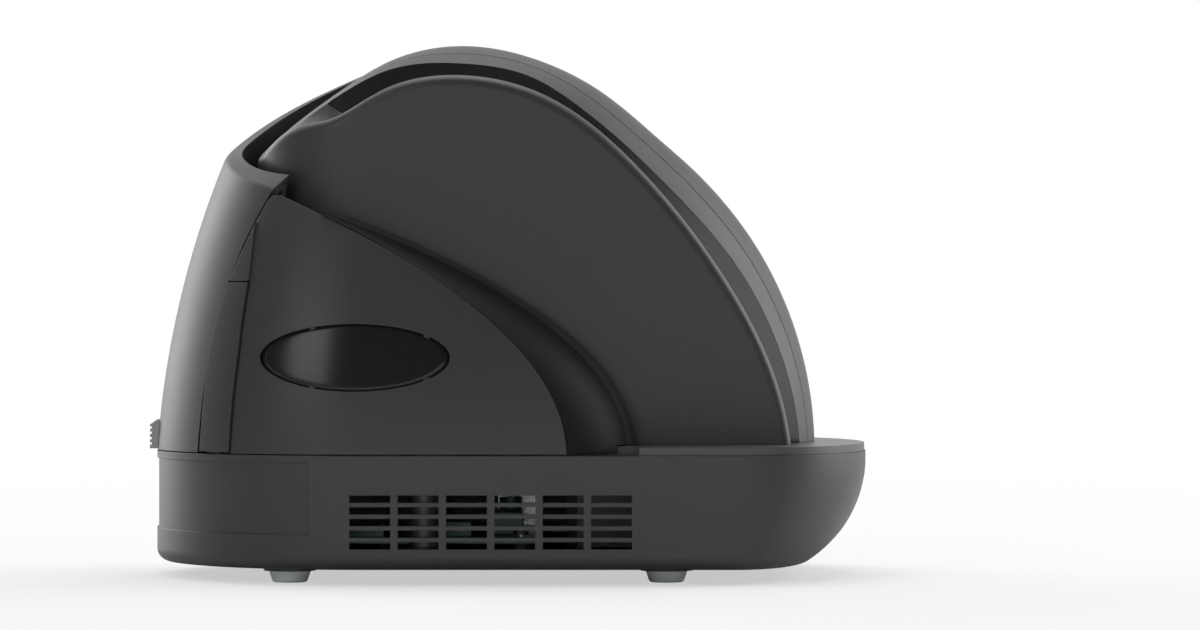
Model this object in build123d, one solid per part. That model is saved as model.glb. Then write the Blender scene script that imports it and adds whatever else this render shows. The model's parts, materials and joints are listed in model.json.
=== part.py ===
from build123d import *
import math
import os

# Cheque scanner. Millimetres, X to the exit end, Y to the rear, Z up from the table.
# A cheque goes in at the front right, round the U-turn at the left and out along the rear.

# ---- base and covers
body_width = 120.0        # front to rear
body_length = 200.0       # from the turn end to the nose
tab_reach = 1.6           # the release tab stands out this far at the turn end
nose_length = 38.0        # elliptical nose beyond the straight sides
wall = 2.2
seam_z = 35.0             # top edge of the base
seam_gap = 0.3
part_gap = 0.35           # round a piece that moves in its window
floor_z = 4.0             # underside of the base
bottom_round = 3.5
nose_curve = 33.5         # radius of the nose in side view
nose_shoulder_z = 33.0    # height where that curve starts
end_recess = 0.5          # depth of the shallow panel round the turn end
panel_start = 14.0        # the panel's straight edges lie this far past the centre of the turn
panel_low_z = 13.5
panel_high_z = 33.0
lean_radius = 275.0       # the covers lean in along an arc of this radius
lean_start = 3.9          # degrees of lean at the seam
lean_shift = 11.5         # the covers' middle lies this far back at full height
cover_top_z = 146.0
rim_slope = 0.426         # the covers' rim rises this much along X
rim_wall = 3.0
rim_round = 2.5

# ---- document track and deck
track_radius = 34.0
track_gap = 4.4
track_wall = 1.5
deck_top = 37.2
deck_wall = 2.2
flange_top = 32.8
plateau_radius = 46.5     # raised part of the deck under the covers
lip_inset = 0.35
lip_start_x = 36.3

# ---- island between the legs of the track
slot_y = -11.8
slot_width = 2.0
slot_floor_z = 103.0
channel_wall = 1.3
parting_y = -2.0
parting_gap = 0.3
crest_y = 12.0
crown_x = -14.0           # X of the highest point
dome_power = 1.8          # how the dome rounds off towards the slot and the rear
lip_rise = 0.8            # the slot's front wall stands this high above the front face
end_round = 3.0           # between the island's top and its upright round end
ramp_front_x = -45.5      # slanted end of the card slot at its front and rear walls
ramp_back_x = -51.0
island_wall = 2.2

# ---- drive
roller_radius = 9.0
roller_height = 14.0
roller_z = 50.0
idler_radius = 6.0
nip = 0.15
shaft_radius = 2.0
running_gap = 0.05
pulley_radius = 8.0
motor_pulley_radius = 6.0
pulley_z = 27.0
pulley_height = 5.0
belt_thickness = 1.2
leg_roller_x = -8.0
frame_z = 68.0
frame_plate = 2.2
idler_pin_radius = 1.5
idler_fork = 2.0          # thickness of the plates that hold an idler's pin
fork_gap = 0.4
bush_radius = 3.0

# ---- front door, its hinge and its latch strip
hinge_y = -54.8
hinge_z = 41.2
hinge_ear = 1.9
hinge_pin_radius = 0.9
hinge_ear_x = (-40.0, 2.0)
hinge_ear_width = 4.0
hinge_lug_width = 3.0
hinge_lug_radius = 2.4
swing_gap = 1.5           # between the deck and the guide, which swings in over it
sweep_gap = 0.25          # round the door's lower edge as it swings
strip_angle = 43.0        # degrees round the bend from the front
strip_proud = 0.6
strip_thickness = 2.6
strip_low_z = 35.7
strip_relief = 1.1        # its lower corner is cut back for the door's swing
rim_notch = 1.8           # small notch in the front cover's top corner
strip_top_z = 82.0
strip_pivot_z = 47.0
strip_pivot_depth = 5.0
strip_pin_radius = 1.0
oval_width = 52.0
oval_height = 18.4
oval_x = -1.6             # from the centre of the turn
oval_z = 61.4
oval_depth = 0.6
guide_skin = 1.8

# ---- sensors and heads
sensor_width = 8.0
sensor_depth = 5.5
sensor_low_z = 38.5
sensor_high_z = 86.0
front_sensor_x = -35.0
rear_sensor_x = -25.0
ink_head_x = 12.0
magnet_x = 25.0
card_head_x = -12.0

# ---- feet, screws, board
foot_radius = 5.75
foot_tip_radius = 4.65
foot_gap = 0.05
foot_boss_radius = 7.2
foot_boss_height = 0.8
foot_round = 0.9
foot_top = floor_z + 0.6  # the rubber sits this high in its recess
foot_x = (-59.0, 44.0)
foot_y = 43.0
screw_radius = 1.5
screw_head_radius = 3.0
screw_x = (-22.0, 57.0)
screw_y = (50.0, 40.0)
screw_boss_top = 10.0
screw_post_radius = 5.2
screw_seat = 3.0          # thickness left under a screw's head
screw_gap = 0.2
screw_head_gap = 0.3
motor_x = 34.0
motor_size = 35.0
motor_low_z = 8.2
motor_high_z = 23.0
board_z = 10.0
board_thickness = 1.6
vent_columns = 6
vent_rows = 5
vent_slot = (11.0, 1.95)
vent_pitch = (13.05, 3.15)
vent_x = -3.7
vent_z = 17.0

half_width = body_width / 2
turn_x = half_width - body_length / 2 + tab_reach / 2
nose_x = body_length / 2 + tab_reach / 2 - nose_length
inner_track = track_radius - track_gap / 2
outer_track = track_radius + track_gap / 2
drive_reach = track_radius - roller_radius
idler_reach = track_radius + nip + idler_radius
shafts = {
    "entry": (leg_roller_x, -drive_reach),
    "turn": (turn_x - drive_reach, 0.0),
    "exit": (leg_roller_x, drive_reach),
}
idlers = {
    "front": (leg_roller_x, -idler_reach),
    "turn": (turn_x - idler_reach, 0.0),
    "rear": (leg_roller_x, idler_reach),
}


def block(x0, x1, y0, y1, z0, z1):
    return Pos((x0 + x1) / 2, (y0 + y1) / 2, (z0 + z1) / 2) * Box(x1 - x0, y1 - y0, z1 - z0)


def post(x, y, z0, z1, radius, bore=0.0):
    solid = Pos(x, y, (z0 + z1) / 2) * Cylinder(radius, z1 - z0)
    if bore:
        solid -= Pos(x, y, (z0 + z1) / 2) * Cylinder(bore, z1 - z0 + 1)
    return solid


def rod_x(x0, x1, y, z, radius):
    return Pos((x0 + x1) / 2, y, z) * Rot(0, 90, 0) * Cylinder(radius, x1 - x0)


def stadium(radius, x_end, z, middle_y=0.0):
    """Flat outline that is round about the turn and straight to x_end."""
    low, high = middle_y - radius, middle_y + radius
    return Face(Wire([
        Line((x_end, low, z), (turn_x, low, z)),
        ThreePointArc((turn_x, low, z), (turn_x - radius, middle_y, z), (turn_x, high, z)),
        Line((turn_x, high, z), (x_end, high, z)),
        Line((x_end, high, z), (x_end, low, z)),
    ]))


def tower(radius, x_end, z0, z1):
    return extrude(stadium(radius, x_end, z0), z1 - z0, dir=(0, 0, 1))


def front_view(edges, y0, y1):
    """Solid from y0 to y1 whose outline, drawn in the plane y0, is the given closed list of edges."""
    return extrude(Face(Wire(edges)), y1 - y0, dir=(0, 1, 0))


def arch_edges(points, y, bottom):
    """A smooth curve through the points, closed by straight sides down to the bottom."""
    first, last = points[0], points[-1]
    return [Spline([(x, y, z) for x, z in points])] + [
        Line((last[0], y, last[1]), (last[0], y, bottom)),
        Line((last[0], y, bottom), (first[0], y, bottom)),
        Line((first[0], y, bottom), (first[0], y, first[1])),
    ]


def arch(points, y0, y1, bottom):
    return front_view(arch_edges(points, y0, bottom), y0, y1)


# ---- base
def nose_reach(z):
    drop = max(0.0, nose_shoulder_z - z)
    return nose_length - nose_curve + math.sqrt(nose_curve ** 2 - drop ** 2)


def plan(inset, z):
    """The D-shaped outline of the base with its elliptical nose."""
    side = half_width - inset
    reach = nose_reach(z) - inset
    nose = EllipticalCenterArc((nose_x, 0), reach, side, -90, arc_size=180)
    outline = Face(Wire([
        Line((nose_x, side), (turn_x, side)),
        ThreePointArc((turn_x, side), (turn_x - side, 0), (turn_x, -side)),
        Line((turn_x, -side), (nose_x, -side)),
        nose,
    ]))
    return Pos(0, 0, z) * outline


def base_body(inset, low, high):
    """Solid of the base from low to high; its nose curves in towards the bottom."""
    steps = [low + (nose_shoulder_z - low) * k / 4 for k in range(5)]
    lower = loft([plan(inset, z) for z in steps])
    return lower + extrude(plan(inset, nose_shoulder_z), high - nose_shoulder_z, dir=(0, 0, 1))


def door_sweep():
    """Space that the front door's lower edge passes through round its hinge; narrower round the bend."""
    drop = hinge_z - seam_z - seam_gap
    rim = []
    for degrees in (24, 16, 8, 0):
        angle = math.radians(degrees)
        radius = math.hypot(half_width * math.cos(angle) + hinge_y, drop) + sweep_gap
        rim.append((turn_x - half_width * math.sin(angle), hinge_y, hinge_z - radius))
    start, end = rim[0][0], lip_start_x
    edges = [Spline(rim), Line(rim[-1], (end, hinge_y, rim[-1][2]))]
    edges += [Line((end, hinge_y, rim[-1][2]), (end, hinge_y, hinge_z))]
    edges += [Line((end, hinge_y, hinge_z), (start, hinge_y, hinge_z)), Line((start, hinge_y, hinge_z), rim[0])]
    return revolve(Face(Wire(edges)), Axis((0, hinge_y, hinge_z), (1, 0, 0)))


def foot_places():
    return [(x, side * foot_y) for x in foot_x for side in (-1, 1)]


def screw_places():
    return [(x, side * y) for x, y in zip(screw_x, screw_y) for side in (-1, 1)]


def motor_corners():
    offset = motor_size / 2 - 3.5
    return [(motor_x + sx * offset, sy * offset) for sx in (-1, 1) for sy in (-1, 1)]


board_screw_places = [(-74.0, -26.0), (-74.0, 26.0), (4.0, -30.0), (-36.0, 0.0), (24.0, 42.0)]
usb_x = 2.0
usb_width = 12.0
power_x = 20.0
power_width = 9.2
socket_height = 11.0
socket_gap = 0.1          # round a socket in its window in the rear wall
socket_z = board_z + board_thickness


def vent_slots():
    slot = Box(vent_slot[0], wall * 3, vent_slot[1])
    grid = GridLocations(vent_pitch[0], vent_pitch[1], vent_columns, vent_rows)
    places = [(vent_x + place.position.X, vent_z + place.position.Y) for place in grid]
    return [Pos(x, -half_width, z) * slot for x, z in places]


def base_pan():
    body = base_body(0, floor_z, seam_z)
    body = fillet(body.edges().group_by(Axis.Z)[0], bottom_round)
    body -= base_body(wall, floor_z + wall, seam_z + 1)
    inside = floor_z + wall / 2
    posts = [post(x, y, floor_z - foot_boss_height, floor_z + wall, foot_boss_radius) for x, y in foot_places()]
    posts += [post(x, y, inside, screw_boss_top, screw_post_radius) for x, y in screw_places()]
    posts += [post(x, y, inside, motor_low_z, 3.2) for x, y in motor_corners()]
    posts += [post(x, y, inside, board_z, 2.8) for x, y in board_screw_places]
    holes = [post(x, y, floor_z - 2, foot_top, foot_radius + foot_gap) for x, y in foot_places()]
    for x, y in screw_places():
        holes.append(post(x, y, floor_z - 1, screw_boss_top + 1, screw_radius + screw_gap))
        holes.append(post(x, y, floor_z - 1, screw_boss_top - screw_seat, screw_head_radius + screw_head_gap))
    holes.append(tower(half_width + 1, turn_x - panel_start, panel_low_z, panel_high_z)
                 - tower(half_width - end_recess, 100, panel_low_z - 1, panel_high_z + 1))
    for x, width in ((usb_x, usb_width), (power_x, power_width)):
        half = width / 2 + socket_gap
        top = socket_z + socket_height + socket_gap
        holes.append(block(x - half, x + half, half_width - wall - 1, half_width + 1, socket_z, top))
    return body + posts - (holes + vent_slots() + [door_sweep()])


def foot(x, y):
    boss_bottom = floor_z - foot_boss_height
    tip = Pos(x, y, boss_bottom / 2) * Cone(foot_tip_radius, foot_radius, boss_bottom)
    tip = fillet(tip.edges().group_by(Axis.Z)[0], foot_round)
    return tip + post(x, y, boss_bottom, foot_top, foot_radius)


def feet():
    return [foot(x, y) for x, y in foot_places()]


def base_screws():
    solids = []
    for x, y in screw_places():
        head = screw_boss_top - screw_seat
        solids.append(post(x, y, head - 2, head, screw_head_radius) + post(x, y, head, head + 11, screw_radius))
    return solids


# ---- deck
def deck():
    outline = plan(wall + 0.25, nose_shoulder_z)
    flange = Pos(0, 0, flange_top - deck_wall - nose_shoulder_z) * extrude(outline, deck_wall, dir=(0, 0, 1))
    plateau = tower(plateau_radius, lip_start_x + 3, flange_top - deck_wall, deck_top)
    nose = extrude(plan(wall + 0.25, nose_shoulder_z), deck_top - nose_shoulder_z, dir=(0, 0, 1))
    nose += Pos(0, 0, seam_z - nose_shoulder_z) * extrude(plan(lip_inset, nose_shoulder_z), deck_top - seam_z, dir=(0, 0, 1))
    nose &= block(lip_start_x, 120, -70, 70, flange_top - deck_wall, deck_top)
    body = flange + plateau + nose
    hollow = tower(plateau_radius - deck_wall, lip_start_x + 5, 20, deck_top - deck_wall)
    cavity = Pos(0, 0, -10) * extrude(plan(wall * 2 + 0.5, nose_shoulder_z), deck_top - deck_wall - nose_shoulder_z + 10, dir=(0, 0, 1))
    hollow += cavity & block(lip_start_x + deck_wall, 120, -70, 70, 20, deck_top)
    body -= hollow
    for x, y in screw_places():
        top = flange_top if x < lip_start_x else deck_top - 1
        body += post(x, y, screw_boss_top, top, 4.0)
        body -= post(x, y, screw_boss_top - 1, screw_boss_top + 10, screw_radius + 0.02)
    for x, y in shafts.values():
        body += post(x, y, deck_top - deck_wall - 1.5, deck_top, bush_radius + 2)
        body -= post(x, y, 20, deck_top + 1, bush_radius)
    for x0 in hinge_ear_x:
        x1 = x0 + hinge_ear_width
        arm = block(x0, x1, hinge_y, -plateau_radius + 2.3, hinge_z - hinge_ear, hinge_z + hinge_ear)
        arm += block(x0, x1, -plateau_radius, -plateau_radius + 2.3, deck_top - 1, hinge_z + hinge_ear)
        arm += rod_x(x0, x1, hinge_y, hinge_z, hinge_ear)
        body += arm
        body -= rod_x(x0 - 1, x1 + 1, hinge_y, hinge_z, hinge_pin_radius)
    return body


def hinge_pins():
    reach = hinge_lug_width + part_gap - 0.2
    return [rod_x(x - reach, x + hinge_ear_width + reach, hinge_y, hinge_z, hinge_pin_radius) for x in hinge_ear_x]


# ---- the leaning covers
def cover_radius(z):
    start = math.radians(lean_start)
    angle = math.asin(math.sin(start) + (z - seam_z) / lean_radius)
    return half_width - lean_radius * (math.cos(start) - math.cos(angle))


def cover_middle(z):
    return lean_shift * ((z - seam_z) / (cover_top_z - seam_z)) ** 2


def leaning_body(inset, x_end=72.0):
    bottom = seam_z + seam_gap
    heights = [bottom + (cover_top_z - bottom) * k / 5 for k in range(6)]
    return loft([stadium(cover_radius(z) - inset, x_end, z, cover_middle(z)) for z in heights])


# Y and height of the covers' rim at rim_x
rim_x = turn_x - 36
rim_curve = [(-62.0, 60.0), (-41.8, 90.7), (-31.1, 104.1), (-20.3, 111.1), (-6.6, 117.3), (14.1, 122.6),
             (31.9, 127.6), (62.0, 131.0)]


def below_rim(drop=0.0):
    """Everything under the sloping rim of the covers."""
    lead = 50
    line = [(rim_x - lead, y, z - drop - lead * rim_slope) for y, z in rim_curve]
    foot = [(rim_x - lead, y, -100) for y in (rim_curve[-1][0], rim_curve[0][0])]
    edges = [Spline(line), Line(line[-1], foot[0]), Line(foot[0], foot[1]), Line(foot[1], line[0])]
    return extrude(Face(Wire(edges)), 300, dir=(1, 0, rim_slope))


def over_deck(gap=seam_gap):
    """The raised deck with its clearance, cut from whatever stands round it."""
    return tower(plateau_radius + gap, 120, seam_z - 5, deck_top + seam_gap)


def grey_edge(z):
    """Right edge of the front cover, from the centre of the turn."""
    return turn_x + 56.0 - 0.0157 * (z - seam_z) ** 2


def guide_edge(z):
    """Right edge of the entry guide."""
    rise = z - seam_z
    return turn_x + 75.0 - 0.0172 * rise ** 2 - 4e-7 * rise ** 4


# where the end cover meets the front cover: sideways from the latch strip's middle line, and height
seam_line = [(-6.0, 35.0), (-5.15, 62.0), (-4.05, 76.0), (-2.8, 82.3), (-0.6, 93.2), (1.1, 99.0), (2.7, 104.2),
             (4.3, 109.0)]
inner_seam = [(-6.0, 35.0), (-3.2, 55.0), (4.3, 109.0)]     # the same seam in the track wall
seam_room = 0.3           # extra clearance on the end cover's side of the seam
inner_relief = 1.3        # the door's lower corner is cut back by this for its swing
stays = [(-53.0, 95.0), (-22.0, 78.0)]     # X and top of the ribs inside the front cover
stay_width = 1.5
stay_low_z = 44.0
strip_edge = [(6.5, 35.7), (6.2, 62.0), (4.7, 82.0)]    # other side of the latch strip
fin_point = (1.8, 98.5)   # the strip's outline ends in this point, above the latch


def right_of(line):
    """Everything to the right of a line drawn in the strip's plane, as far as the nose."""
    corners = [(90, seam_z - 9), (line[0][0], seam_z - 9)] + line + [(24, 170), (90, 170)]
    with BuildSketch(strip_plane()) as sketch:
        with BuildLine():
            Polyline(corners, close=True)
        make_face()
    return extrude(sketch.sketch, 90) + block(turn_x, 120, -90, -0.01, seam_z - 9, 170)


def right_of_seam(gap):
    """Everything on the front door's side of the seam, which runs straighter in the track wall."""
    outer = [(side + gap, z) for side, z in seam_line]
    inner = [(side + gap, z) for side, z in inner_seam]
    if gap > 0:
        side, z = outer.pop()
        outer.append((side + rim_notch, z))
        side, z = inner[0]
        inner[0] = (side + inner_relief, z)
    core = tower(outer_track + track_wall + 2, 130, seam_z - 10, 171)
    return (right_of(outer) - core) + (right_of(inner) & core)


def left_of_grey_edge():
    y, low, high = -90.0, seam_z - 1, 106.0
    heights = [low + (high - low) * k / 6 for k in range(7)]
    curve = Spline([(grey_edge(z), y, z) for z in heights])
    edges = [curve, Line(curve @ 1, (-140, y, high)), Line((-140, y, high), (-140, y, low)), Line((-140, y, low), curve @ 0)]
    return front_view(edges, y, -0.01)


def rim_edges(body):
    """Outer edge of the sloping rim, from the entry side round to the rear."""
    high = [edge for edge in body.edges() if 85 < edge.center().Z < cover_top_z - 1]
    return [edge for edge in high if edge.length > 50 and abs(edge.tangent_at(0.5).Z) < 0.7]


def wrap():
    """The hollow wall round the track before it is divided into covers."""
    outside = leaning_body(0) & below_rim()
    outside = fillet(rim_edges(outside), rim_round) - tower(outer_track, 120, seam_z - 1, cover_top_z + 20)
    inner_wall = tower(outer_track + track_wall, 120, seam_z - 1, cover_top_z + 20)
    hollow = (leaning_body(wall) & below_rim(rim_wall)) - inner_wall
    return outside - hollow - over_deck()


def strip_plane():
    """Plane through the turn's axis that faces out at the latch strip."""
    angle = math.radians(strip_angle)
    outward = Vector(-math.sin(angle), -math.cos(angle), 0)
    sideways = Vector(math.cos(angle), -math.sin(angle), 0)
    return Plane(origin=(turn_x, 0, 0), x_dir=sideways, z_dir=outward)


def strip_prism(grow):
    """Outline of the latch strip, drawn in its own plane and pushed outwards."""
    low = seam_z - 1 if grow else strip_low_z
    top = strip_top_z + grow
    foot = seam_line[0][0] - grow if grow else seam_line[0][0] + strip_relief
    left = [(foot, low)] + [(side - grow, z) for side, z in seam_line[1:3]]
    left.append((seam_line[3][0] - grow, top))
    right = [(strip_edge[2][0] + grow, top), (strip_edge[1][0] + grow, strip_edge[1][1]), (strip_edge[0][0] + grow, low)]
    with BuildSketch(strip_plane().offset(outer_track + track_wall + 3)) as sketch:
        with BuildLine():
            Polyline(left + right, close=True)
        make_face()
    return extrude(sketch.sketch, 40)


def fin():
    """Fixed point of the front cover that carries on the latch strip's outline upwards."""
    low = strip_top_z + part_gap
    side, top = fin_point
    outline = [(seam_line[3][0] + part_gap, low), (strip_edge[2][0] + part_gap, low), (side, top)]
    with BuildSketch(strip_plane().offset(outer_track + track_wall + 3)) as sketch:
        with BuildLine():
            Polyline(outline, close=True)
        make_face()
    return extrude(sketch.sketch, 40) & (leaning_body(-strip_proud) - leaning_body(wall))


def strip_point(depth, z):
    """Point at a depth behind the outer surface, on the middle line of the latch strip."""
    angle = math.radians(strip_angle)
    reach = cover_radius(z) - depth
    return Vector(turn_x - reach * math.sin(angle), cover_middle(z) - reach * math.cos(angle), z)


def strip_pin(radius, length):
    centre = strip_point(strip_pivot_depth, strip_pivot_z)
    angle = math.radians(strip_angle)
    plane = Plane(origin=centre, z_dir=Vector(math.cos(angle), -math.sin(angle), 0))
    return plane * Cylinder(radius, length)


def strip_box(side_width, depth0, depth1, z0, z1, offset=0.0):
    """A block behind the strip, turned with it."""
    middle = strip_point(0, strip_pivot_z)
    plane = Plane(origin=(middle.X, middle.Y, 0), x_dir=strip_plane().x_dir, z_dir=(0, 0, 1))
    return plane * Pos(offset, (depth0 + depth1) / 2, (z0 + z1) / 2) * Box(side_width, depth1 - depth0, z1 - z0)


def fork(x, y, out, z0=roller_z, z1=roller_z + roller_height, width=9.0):
    """Two plates on the back of a track wall that hold an idler's pin; out points away from the track."""
    near = outer_track + 0.2
    far = idler_reach + 3.2
    plates = None
    for low in (z0 - fork_gap - idler_fork, z1 + fork_gap):
        high = low + idler_fork
        if y == 0:
            plate = block(turn_x - far, turn_x - near, -width / 2, width / 2, low, high)
        elif out < 0:
            plate = block(x - width / 2, x + width / 2, -far, -near, low, high)
        else:
            plate = block(x - width / 2, x + width / 2, near, far, low, high)
        plates = plate if plates is None else plates + plate
    return plates - post(x, y, z0 - 10, z1 + 10, idler_pin_radius)


def idler_window(x, y):
    room = idler_radius + 0.6
    low = roller_z - fork_gap
    return block(x - room, x + room, y - room, y + room, low, roller_z + roller_height + fork_gap)


def oval_recess():
    middle = Pos(turn_x + oval_x, -half_width, oval_z) * Rot(90, 0, 0)
    prism = middle * extrude(Ellipse(oval_width / 2, oval_height / 2), 30, both=True)
    return prism - leaning_body(oval_depth)


def hinge_lug(x):
    x1 = x + hinge_lug_width
    lug = block(x, x1, -half_width + wall, hinge_y, hinge_z - hinge_lug_radius, hinge_z + hinge_lug_radius)
    return lug + rod_x(x, x1, hinge_y, hinge_z, hinge_lug_radius)


def latch_bracket():
    """Two ears for the latch strip's pin, with a bridge over them that stands on the cover's wall."""
    z0, z1 = strip_pivot_z + 3.5, strip_pivot_z + 5.5
    ears = [strip_box(2.0, 3.5, 8.0, strip_pivot_z - 2.5, strip_pivot_z + 5, side * (4.0 + part_gap)) for side in (-1, 1)]
    return ears + [strip_box(17.0, 4.5, 8.0, z0, z1, 3.2), strip_box(4.5, 2.0, 8.0, z0, z1, 10.0) & leaning_body(1.0)]


def stay(x, top):
    """Rib that ties the front cover's track wall to its outer wall."""
    plate = block(x, x + stay_width, -half_width, -20, stay_low_z, top)
    return (plate & leaning_body(0.5)) - tower(outer_track + 0.3, 120, seam_z - 1, cover_top_z + 20)


def front_cover():
    x, y = idlers["front"]
    half = sensor_width / 2
    sensor = block(front_sensor_x - half, front_sensor_x + half, -outer_track - 3, -outer_track + 1,
                   sensor_low_z, sensor_high_z)
    body = wrap() & right_of_seam(part_gap) & left_of_grey_edge()
    body -= [oval_recess(), strip_prism(part_gap), idler_window(x, y), sensor]
    lug_places = []
    for x0 in hinge_ear_x:
        lug_places += [x0 - part_gap - hinge_lug_width, x0 + hinge_ear_width + part_gap]
    room = leaning_body(0.5)
    body += [fork(x, y, -1), fin()] + latch_bracket() + [hinge_lug(x0) & room for x0 in lug_places]
    body += [stay(place, top) for place, top in stays]
    bore = hinge_pin_radius + running_gap
    bores = [rod_x(x0 - 1, x0 + hinge_lug_width + 1, hinge_y, hinge_z, bore) for x0 in lug_places]
    return body - (bores + [strip_pin(strip_pin_radius, 16)])


def entry_guide_body(skin, back, low, high):
    """Solid whose left side meets the front cover and whose front runs back to the track."""
    sections = []
    for k in range(6):
        z = low + (high - low) * k / 5
        x0 = grey_edge(z) + 0.12
        x1 = guide_edge(z) - skin * 1.4
        y0 = cover_middle(z) - cover_radius(z) + skin
        y1 = -outer_track - back
        bulge = 0.10 * (y1 - y0)
        middle = ((x0 + x1) / 2 + bulge - skin * 0.3, (y0 + y1) / 2 - bulge + skin * 0.3, z)
        tip = (x1, y1 - 0.9 + skin * 0.4, z)
        sections.append(Face(Wire([
            ThreePointArc((x0, y0, z), middle, tip),
            Line(tip, (x1, y1, z)),
            Line((x1, y1, z), (x0, y1, z)),
            Line((x0, y1, z), (x0, y0, z)),
        ])))
    return loft(sections)


def entry_guide():
    body = entry_guide_body(0, 0, seam_z + seam_gap, 100.5)
    body -= entry_guide_body(guide_skin, track_wall, seam_z + seam_gap - 0.01, 88.0)
    return body - over_deck(swing_gap)


def latch_strip():
    shell = leaning_body(-strip_proud) - leaning_body(strip_thickness - strip_proud)
    body = shell & strip_prism(0)
    arm = strip_box(6.0, 1.4, strip_pivot_depth + 3, strip_pivot_z - 2.6, strip_pivot_z + 2.6)
    nose = strip_box(6.0, strip_pivot_depth, strip_pivot_depth + 5.5, strip_pivot_z - 6, strip_pivot_z - 1)
    body += (arm & leaning_body(0.4)) + nose
    return body - strip_pin(strip_pin_radius + running_gap, 16)


def latch_pin():
    return strip_pin(strip_pin_radius, 12.6)


def end_cover():
    span = block(turn_x - 80, turn_x + 5, -90, 90, 30, 170)
    body = (wrap() & span) - right_of_seam(-seam_room) - strip_prism(part_gap + seam_room)
    x, y = idlers["turn"]
    body -= idler_window(x, y)
    body += fork(x, y, 0)
    notch = block(turn_x - half_width - 5, turn_x - half_width + 6, -tab_width / 2 - part_gap,
                  tab_width / 2 + part_gap, 30, tab_top + part_gap)
    body -= notch
    for side in (-1, 1):
        y = side * (tab_width / 2 + part_gap + 0.9)
        rail = block(turn_x - half_width + 1, turn_x - half_width + 10, y - 0.9, y + 0.9, seam_z + seam_gap, tab_top + 2)
        body += rail & leaning_body(0.5)
    return body


tab_width = 16.0
tab_top = 43.6
tab_low = seam_z + seam_gap + 0.2
tab_travel = 1.2


def release_tab():
    outer = turn_x - half_width - tab_reach
    body = block(outer, outer + 4.2, -tab_width / 2, tab_width / 2, tab_low, tab_top)
    body = chamfer(body.edges().filter_by(Axis.Y).sort_by(Axis.X)[:2].sort_by(Axis.Z)[-1], 1.4, 2.0)
    for k in range(4):
        z = tab_low + 1.0 + 1.5 * k
        body -= block(outer - 1, outer + 0.5, -tab_width, tab_width, z, z + 0.7)
    return body + block(outer + 4, outer + 10, -5, 5, tab_low + 1.5, tab_low + 5)


def rear_profile(shrink):
    points = [(-40.0, 150.0), (-14.0, 144.5), (12.0, 133.0), (34.0, 113.0), (52.0, 86.0), (60.0, 60.0), (62.0, 34.0)]
    return [(x - shrink * 0.9 if x > 0 else x, z - shrink) for x, z in points]


def rear_cover():
    start = turn_x + 5 + part_gap
    outside = leaning_body(0) & arch(rear_profile(0), outer_track, 70, seam_z - 2)
    hollow = leaning_body(wall) & arch(rear_profile(wall), outer_track + track_wall, 70, seam_z - 5)
    body = (outside - (hollow & block(start + wall, 100, 0, 90, 30, 170))) & block(start, 100, 0, 90, 30, 170)
    body -= over_deck() + block(lip_start_x - seam_gap, 120, 0, 90, seam_z - 5, deck_top + seam_gap)
    x, y = idlers["rear"]
    body -= idler_window(x, y)
    return body + fork(x, y, 1)


# ---- island
# highest line of each profile in X and Z, from the turn end to the nose end; all have as many points
front_arch = [(-80.0, 103.0), (-66.0, 120.6), (-59.0, 125.2), (-49.8, 127.0), (-40.4, 131.8), (-32.1, 136.3),
              (-13.5, 139.4), (9.3, 134.4), (36.3, 114.0), (60.0, 84.0), (73.5, 58.0), (79.0, 33.0)]
slot_arch = [(-80.0, 101.0), (-61.5, 124.5), (-47.5, 134.6), (-33.5, 141.8), (-12.5, 143.6), (6.1, 140.0),
             (19.0, 132.2), (34.5, 119.3), (42.0, 112.0), (64.0, 87.0), (77.0, 61.0), (82.0, 33.0)]
crest = [(-86.0, 99.0), (-61.2, 127.2), (-48.0, 137.0), (-34.2, 145.4), (-13.5, 149.8), (8.7, 145.6),
         (25.8, 137.0), (42.9, 123.0), (51.5, 115.4), (72.0, 90.0), (83.0, 64.0), (87.0, 33.0)]
arch_foot = deck_top - 12
arch_reach = 88.0         # from the crown to the farthest end of the profiles
arch_rise = 108.0
channel_front = slot_y - slot_width / 2 - channel_wall
channel_back = slot_y + slot_width / 2 + channel_wall
back_wall_z = 84.0        # below this height the island's inner walls are open


def inward(points, depth):
    """Profile drawn smaller about the foot of the crown."""
    across, up = 1 - depth / arch_reach, 1 - depth / arch_rise
    return [(crown_x + (x - crown_x) * across, deck_top + (z - deck_top) * up) for x, z in points]


def dome_profile(y):
    """The crest's outline, drawn in towards the slot's outline the farther y lies from the crest."""
    away = (abs(y - crest_y) / (crest_y - channel_back)) ** dome_power
    return [(x + (xs - x) * away, z + (zs - z) * away) for (x, z), (xs, zs) in zip(crest, slot_arch)]


def skin_of(profiles, depth):
    """Loft through profiles at their Y, each drawn in by the depth."""
    return loft([Face(Wire(arch_edges(inward(points, depth), y, arch_foot))) for points, y in profiles])


def dome(depth, y0, y1, steps=5):
    places = [y0 + (y1 - y0) * k / steps for k in range(steps + 1)]
    return skin_of([(dome_profile(y), y) for y in places], depth)


def island_limit():
    return tower(inner_track, 120, deck_top, 170)


def on_turn_end(edge):
    """True for an edge that runs along the island's upright round end."""
    points = [edge @ t for t in (0, 0.5, 1)]
    off = [abs(math.hypot(point.X - turn_x, point.Y) - inner_track) for point in points]
    return edge.center().Z > back_wall_z and max(off) < 0.05 and max(point.X for point in points) < turn_x + 0.5


def soften_end(body):
    return fillet([edge for edge in body.edges() if on_turn_end(edge)], end_round)


def island_room(top=170.0):
    """Inside of the island's upright walls."""
    return tower(inner_track - island_wall, 120, deck_top - 1, top)


def roller_room(name):
    x, y = shafts[name]
    room = 0.6
    return post(x, y, roller_z - room, roller_z + roller_height + room, roller_radius + room)


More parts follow.
